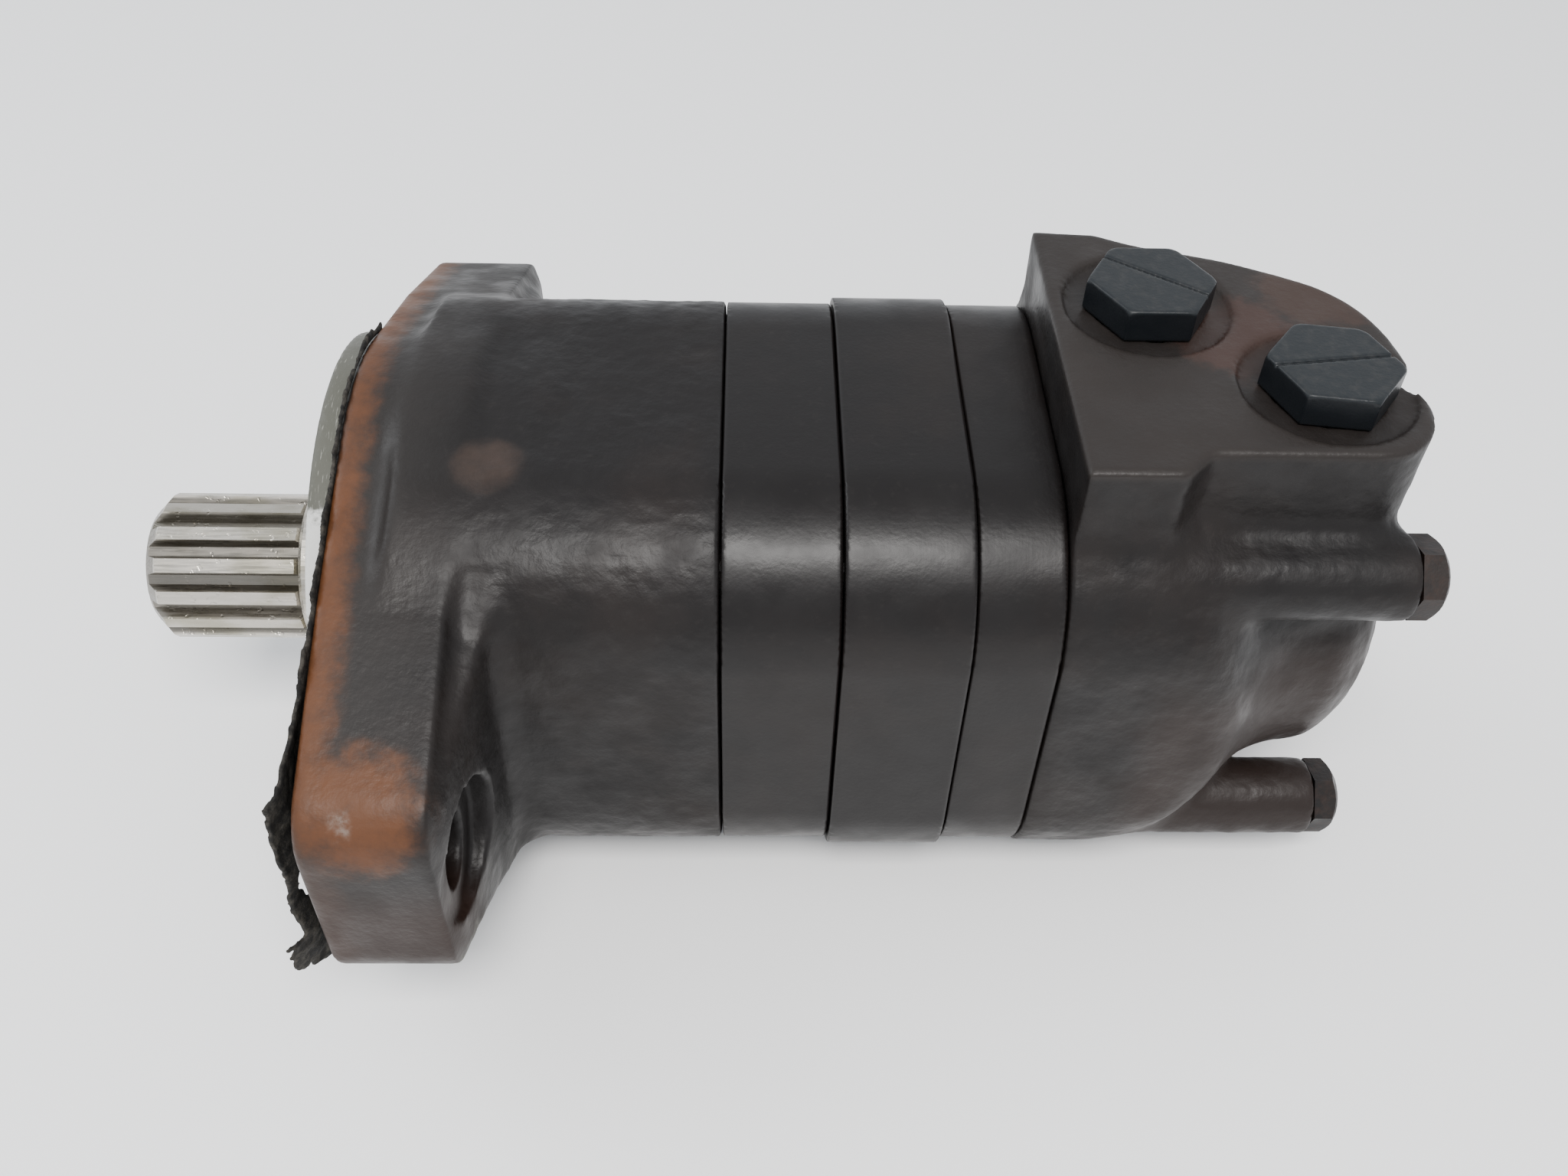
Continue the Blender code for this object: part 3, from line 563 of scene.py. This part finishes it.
def bearing_housing():
    """Pilot, flange with sloped webs behind its ears, and the square body, all in one casting."""
    low = (PILOT_FACE - 3, -EAR_REACH - 3, -FLANGE_RADIUS - 3)
    grid = Grid(low, (HOUSING_LIP + 3, EAR_REACH + 3, FLANGE_RADIUS + 3), CAST_STEP)
    outline = belt(grid.y, grid.z, flange_circles())
    body = common(
        rounded_square(grid.y, grid.z, PLATE_HALF + 0.1, CORNER),
        between(grid.x, FLANGE_BACK / 2, HOUSING_LIP),
        0.5,
    )
    flange = common(outline, between(grid.x, 0.0, FLANGE_BACK), 0.9)
    slope = FLANGE_BACK + WEB_SLOPE * (EAR_REACH - 3.0 - np.abs(grid.y))
    web = common(outline + WEB_INSET, (grid.x - slope) / math.hypot(1, WEB_SLOPE), 2.0)
    web = np.maximum(web, 1.0 - grid.x)
    shape = fused(fused(flange, web, 4.0), body, 4.5)
    pilot = common(grid.around() - PILOT_RADIUS, between(grid.x, PILOT_FACE, 4.0), 0.8)
    shape = np.minimum(shape, pilot)
    for side in (-1, 1):
        hole = grid.around((side * MOUNT_HOLE_AT, 0.0))
        shape = without(shape, hole - MOUNT_HOLE_RADIUS, 0.5)
        seat = np.maximum(hole - SPOT_RADIUS, FLANGE_BACK - 0.1 - grid.x)
        shape = without(shape, seat, 0.4)
    for radius, start, end in STEPPED_BORE:
        bore = np.maximum(grid.around() - radius, between(grid.x, start - 0.1, end))
        shape = np.maximum(shape, -bore)
    for at in CORNERS:
        hole = np.maximum(grid.around(at) - SCREW_HOLE, SCREW_HOLES_START - grid.x)
        shape = np.maximum(shape, -hole)
    shape = grooved(grid, shape, HOUSING_LIP)
    mesh = skin("bearing_casting", grid, shape)

    def as_cast(points):
        x = points[:, 0]
        side = np.hypot(points[:, 1], points[:, 2])
        behind_flange = ramp(x, FLANGE_BACK - 1, FLANGE_BACK + 3)
        return behind_flange * ramp(x, HOUSING_LIP - 0.3, HOUSING_LIP - 2) * ramp(side, 40, 44)

    roughened(mesh, 0.13, 2.2, as_cast)
    roughened(mesh, 0.16, 9.0, as_cast, 4.0)
    piece = added("bearing_casting", mesh, casting_front)
    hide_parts("bearing_housing")


def arc(centre, radius, degrees):
    turns = [math.radians(angle) for angle in degrees]
    return [(centre[0] + radius * math.cos(a), centre[1] + radius * math.sin(a)) for a in turns]


def port_outline():
    """The port block seen from above, as (x, y) points."""
    front, far, near, wide = FOOT, 38.4, -32.6, -38.2
    outline = [(front, far), (148.0, 37.5)]
    outline += smooth_curve([(148.0, 37.5), (157.0, 33.4), (172.0, 28.8), (183.0, 23.8)])[1:-1]
    rear = [(183.0, 23.8), (190.5, 19.2), (196.2, 12.5), (199.6, 3.5), (201.2, -8.0)]
    outline += smooth_curve(rear)[:-1]
    outline += arc((187.7, -19.0), 13.6, range(48, -90, -12))
    outline += [(187.0, near)]
    step = wide - near
    for k in range(13):
        share = k / 12
        outline.append((159.5 - 8.0 * share, near + step * (1 - math.cos(math.pi * share)) / 2))
    return outline + [(front, wide)]


def rear_outline():
    """The turned rear of the valve housing, as (x, radius) points closed onto the axis."""
    rear = [(151, 61.0), (156, 58.4), (161, 56.4), (165.5, 54.0), (171.4, 49.3), (177, 43.6)]
    rear += [(183, 39.3), (190, 37.0), (196, 36.0), (200.5, 33.0), (205, 28.0), (210, 17.5)]
    rear += [(REAR - 0.4, 8.0), (REAR, 0.0)]
    return [(100.0, 0.0), (100.0, 70.0), (140.0, 70.0)] + smooth_curve(rear)


def valve_housing():
    """The rear casting: square foot, shoulder, waist, dome, four bosses and the port block."""
    grid = Grid((FOOT - 2.5, -52.5, -52.5), (REAR + 3, 52.5, PORT_FACE + 2.5), VALVE_STEP)
    foot = rounded_square(grid.y, grid.z, PLATE_HALF + 0.2, CORNER)
    shape = common(foot, turned(grid, rear_outline()), 2.5)
    for at in CORNERS:
        boss = common(grid.around(at) - BOSS_RADIUS, grid.x - BOSS_END, 0.8)
        shape = fused(shape, boss, 3.0)
    top = polygon(grid.x, grid.y, port_outline())
    draft = 0.035 * (PORT_FACE - grid.z)
    block = common(top + draft * 0.5, between(grid.z, 20.0, PORT_FACE), 1.2)
    shape = fused(shape, block, 5.0)
    shape = common(shape, FOOT - grid.x, 0.4)
    chamber = np.maximum(grid.around() - CHAMBER_RADIUS, grid.x - CHAMBER_END)
    shape = np.maximum(shape, -chamber)
    for x, y in PORTS:
        hole = np.hypot(grid.x - x, grid.y - y)
        spot = np.maximum(hole - PORT_SPOT, PORT_FACE - PORT_SPOT_DEPTH - grid.z)
        shape = without(shape, spot, 0.3)
        bore = np.maximum(hole - PORT_BORE, PORT_FACE - PORT_DEPTH - grid.z)
        shape = np.maximum(shape, -bore)
    for at in CORNERS:
        shape = np.maximum(shape, SCREW_HOLE - grid.around(at))
    drain = np.hypot(grid.x - sum(span("drain_plug", 0)) / 2, grid.z)
    shape = np.maximum(shape, -np.maximum(drain - DRAIN_HOLE, 30.0 - grid.y))
    mesh = skin("valve_casting", grid, shape)

    def as_cast(points):
        top_face = ramp(points[:, 2], PORT_FACE - 0.2, PORT_FACE - 2.5)
        side = np.hypot(points[:, 1], points[:, 2])
        return ramp(points[:, 0], FOOT + 0.5, FOOT + 2) * top_face * ramp(side, 5, 9)

    roughened(mesh, 0.11, 2.2, as_cast, 2.0)
    roughened(mesh, 0.15, 9.0, as_cast, 7.0)
    piece = added("valve_casting", mesh, casting_rear)
    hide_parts("valve_housing")


def section(name, half, bore, finish, pockets=()):
    """A plate of the body: a rounded square with its bore, screw holes and seal groove."""
    start, end = span(name, 0)
    margin = 2.2
    low = (start - margin, -half - margin, -half - margin)
    grid = Grid(low, (end + margin, half + margin, half + margin), PLATE_STEP)
    square = rounded_square(grid.y, grid.z, half, CORNER)
    shape = common(square, between(grid.x, start, end), 0.35)
    shape = np.maximum(shape, bore - grid.around())
    for at in CORNERS:
        shape = np.maximum(shape, SCREW_HOLE - grid.around(at))
    for y, z, radius in pockets:
        shape = np.maximum(shape, radius - grid.around((y, z)))
    shape = grooved(grid, shape, end)
    mesh = skin(name + "_body", grid, shape)
    piece = added(name + "_body", mesh, finish)
    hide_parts(name)
    return piece


def middle_of(node):
    return [sum(span(node, axis)) / 2 for axis in range(3)]


def torn_gasket():
    """The gasket's sheet: ragged all round, and curled off the flange below the near ear."""
    grid = Grid((-16.0, -93.0, -50.0), (1.2, 46.0, 55.0), GASKET_STEP)
    grid_y, grid_z = grid.y[0, :, 0], grid.z[0, 0, :]

    def field(wavelength, shift):
        size = 1.0 / wavelength
        rows = [[noise.noise(Vector((y * size, z * size, shift))) for z in grid_z] for y in grid_y]
        return np.array(rows, np.float32)[None]

    coarse, fine = field(9.0, 1.0), field(2.2, 5.0)
    outline = belt(grid.y, grid.z, flange_circles(1.0))
    outline = outline + 0.3 - 1.3 * coarse - 0.9 * fine
    outline = np.maximum(outline, PILOT_RADIUS + 0.3 - grid.around())
    hole = MOUNT_HOLE_RADIUS + 0.8 - grid.around((-MOUNT_HOLE_AT, 0.0))
    outline = np.maximum(outline, hole - fine)
    outline = np.maximum(outline, grid.y - 36 + 6 * coarse + 0.25 * grid.z)
    rag = np.abs(grid.z + 16) - 5 - 3 * coarse - 100 * ramp(grid.y, -84, -80)
    outline = np.maximum(outline, rag)
    below = ramp(-grid.y, 54, 66) * ramp(grid.z, 40, 20)
    lift = 2.2 * below + 4.5 * ramp(-grid.y, 78, 88) + 1.0 * below * coarse + 0.4 * below * fine
    sheet = np.maximum(outline * 0.75, between(grid.x + lift, -1.15, -0.35))
    mesh = skin("torn_gasket", grid, sheet)
    piece = added("torn_gasket", mesh, gasket)
    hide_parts("mounting_gasket")


def hexagon(x, y, flats, turn):
    """Distance from a hexagon round the origin, with a corner at the turn's angle."""
    best = None
    for k in range(6):
        angle = turn + math.pi / 6 + k * math.pi / 3
        side = x * math.cos(angle) + y * math.sin(angle) - flats / 2
        best = side if best is None else np.maximum(best, side)
    return best


def plug(number, turn, scribe, offset):
    """A port plug with a chamfered hexagon head and a line scribed across it."""
    name = f"port_plug_{number}"
    (x0, x1), (y0, y1), (z0, z1) = [span(name, axis) for axis in range(3)]
    middle = ((x0 + x1) / 2, (y0 + y1) / 2)
    grid = Grid((x0 - 1.5, y0 - 1.5, z0 - 1.5), (x1 + 1.5, y1 + 1.5, z1 + 1.5), PLUG_STEP)
    x, y = grid.x - middle[0], grid.y - middle[1]
    around = np.hypot(x, y)
    hexagon_side = hexagon(x, y, PLUG_FLATS, turn)
    head = common(hexagon_side, between(grid.z, z1 - PLUG_HEX_HEIGHT, z1), 0.35)
    cone = (around - 12.1 + (grid.z - z1)) * 0.7071
    head = common(head, cone, 0.25)
    thread = np.maximum(around - PLUG_THREAD, between(grid.z, z0, z1 - 5.0))
    body_top = z1 - PLUG_HEX_HEIGHT - 3.1
    body = np.maximum(around - PLUG_BODY, between(grid.z, z0, body_top))
    shape = np.minimum(np.minimum(head, thread), body)
    across = x * math.sin(scribe) - y * math.cos(scribe) + offset
    line = np.maximum(np.abs(across) - 0.35, z1 - 0.55 - grid.z)
    shape = np.maximum(shape, -line)
    mesh = skin(name + "_worn", grid, shape)
    piece = added(name + "_worn", mesh, plugs)
    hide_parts(name)


def softened(node, width):
    """Rounds a CAD node's sharp edges and shades its turned faces smooth, with modifiers only."""
    if width:
        bevel = node.modifiers.new("edges", "BEVEL")
        bevel.width = width * MM
        bevel.segments = 2
        bevel.limit_method = "ANGLE"
        bevel.angle_limit = math.radians(35)
    group = bpy.data.node_groups.new("smooth_" + node.name, "GeometryNodeTree")
    group.interface.new_socket("Geometry", in_out="INPUT", socket_type="NodeSocketGeometry")
    group.interface.new_socket("Geometry", in_out="OUTPUT", socket_type="NodeSocketGeometry")
    start, end = group.nodes.new("NodeGroupInput"), group.nodes.new("NodeGroupOutput")
    faces = group.nodes.new("GeometryNodeSetShadeSmooth")
    edges = group.nodes.new("GeometryNodeSetShadeSmooth")
    edges.domain = "EDGE"
    edges.inputs["Shade Smooth"].default_value = False
    angle = group.nodes.new("GeometryNodeInputMeshEdgeAngle")
    sharp = group.nodes.new("FunctionNodeCompare")
    sharp.operation = "GREATER_THAN"
    sharp.inputs["B"].default_value = math.radians(40)
    group.links.new(start.outputs[0], faces.inputs["Geometry"])
    group.links.new(faces.outputs[0], edges.inputs["Geometry"])
    group.links.new(angle.outputs["Unsigned Angle"], sharp.inputs["A"])
    group.links.new(sharp.outputs[0], edges.inputs["Selection"])
    group.links.new(edges.outputs[0], end.inputs[0])
    node.modifiers.new("smooth", "NODES").node_group = group


# Finish, edge rounding in millimetres and material slot of the CAD nodes that stay in view
FINISHES = {
    "inner": (inner, 0.0, "inner_steel"),
    "cap_screw": (screws, 0.35, "screw_paint"),
    "drain_plug": (plugs, 0.3, "plug_paint"),
    "output_shaft": (shaft, 0.18, "shaft_steel"),
    "dust_seal": (gasket, 0.0, "seal_rubber"),
    "shaft_seal": (gasket, 0.0, "seal_rubber"),
    "body_seal": (gasket, 0.0, "seal_rubber"),
    "plug_seal": (gasket, 0.0, "seal_rubber"),
    "drain_plug_seal": (gasket, 0.0, "seal_rubber"),
}


def finish_cad_nodes():
    """Gives each CAD node still in view the finish whose key is the longest start of its name."""
    for name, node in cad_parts.items():
        if node.hide_render:
            continue
        matches = [key for key in FINISHES if name.startswith(key)]
        key = max(matches, key=len) if matches else "inner"
        finish, width, slot = FINISHES[key]
        node.data.materials.clear()
        node.data.materials.append(finish)
        softened(node, width)


bearing_housing()
valve_housing()
section("wear_plate", PLATE_HALF, WEAR_BORE, plate)
section("valve_plate", PLATE_HALF, VALVE_PLATE_BORE, plate)
rollers = [(*middle_of(f"roller_{k}")[1:], POCKET_RADIUS) for k in range(1, 8)]
section("geroler_ring", RING_HALF, RING_BORE, plate, rollers)
torn_gasket()
plug(1, 0.0, math.radians(-35), 1.5)
plug(2, math.radians(-8), math.radians(8), 0.5)
finish_cad_nodes()


# ---------------------------------------------------------------------------------------------
# Floor, light and camera
# ---------------------------------------------------------------------------------------------


def floor():
    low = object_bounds()[0]
    mesh = bpy.data.meshes.new("floor")
    size = 3.0
    corners = [(-size, -size), (size, -size), (size, size), (-size, size)]
    mesh.from_pydata([(x, y, low[2] - 0.0003) for x, y in corners], [], [(0, 1, 2, 3)])
    made = bpy.data.objects.new("floor", mesh)
    bpy.context.scene.collection.objects.link(made)
    mesh.materials.append(Nodes("pale_floor", 0.8).finish((0.90, 0.90, 0.90)))
    made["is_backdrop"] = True


def area_light(name, at, aim, size, power, colour):
    data = bpy.data.lights.new(name, "AREA")
    data.shape = "RECTANGLE"
    data.size, data.size_y = size
    data.energy = power
    data.color = colour
    lamp = bpy.data.objects.new(name, data)
    lamp.location = at
    lamp.rotation_euler = (Vector(aim) - Vector(at)).to_track_quat("-Z", "Y").to_euler()
    bpy.context.scene.collection.objects.link(lamp)


def studio():
    world = bpy.data.worlds.new("studio")
    world.use_nodes = True
    backdrop = world.node_tree.nodes["Background"]
    backdrop.inputs["Color"].default_value = (0.93, 0.96, 1.0, 1.0)
    backdrop.inputs["Strength"].default_value = 1.15
    bpy.context.scene.world = world
    middle = (0.08, 0.0, 0.0)
    area_light("overhead", (0.10, -0.55, 0.95), middle, (0.55, 0.35), 16.0, (1.0, 0.98, 0.96))
    area_light("window", (-0.9, 0.3, 0.8), middle, (0.7, 0.7), 6.0, (0.92, 0.96, 1.0))


def camera():
    data = bpy.data.cameras.new("camera")
    data.sensor_width = 36.0
    data.lens = 33.1
    data.clip_start = 0.01
    made = bpy.data.objects.new("camera", data)
    made.location = (0.0763, -0.2240, 0.2265)
    made.rotation_euler = [math.radians(a) for a in (43.97, -1.39, -0.664)]
    bpy.context.scene.collection.objects.link(made)
    bpy.context.scene.camera = made


floor()
studio()
camera()
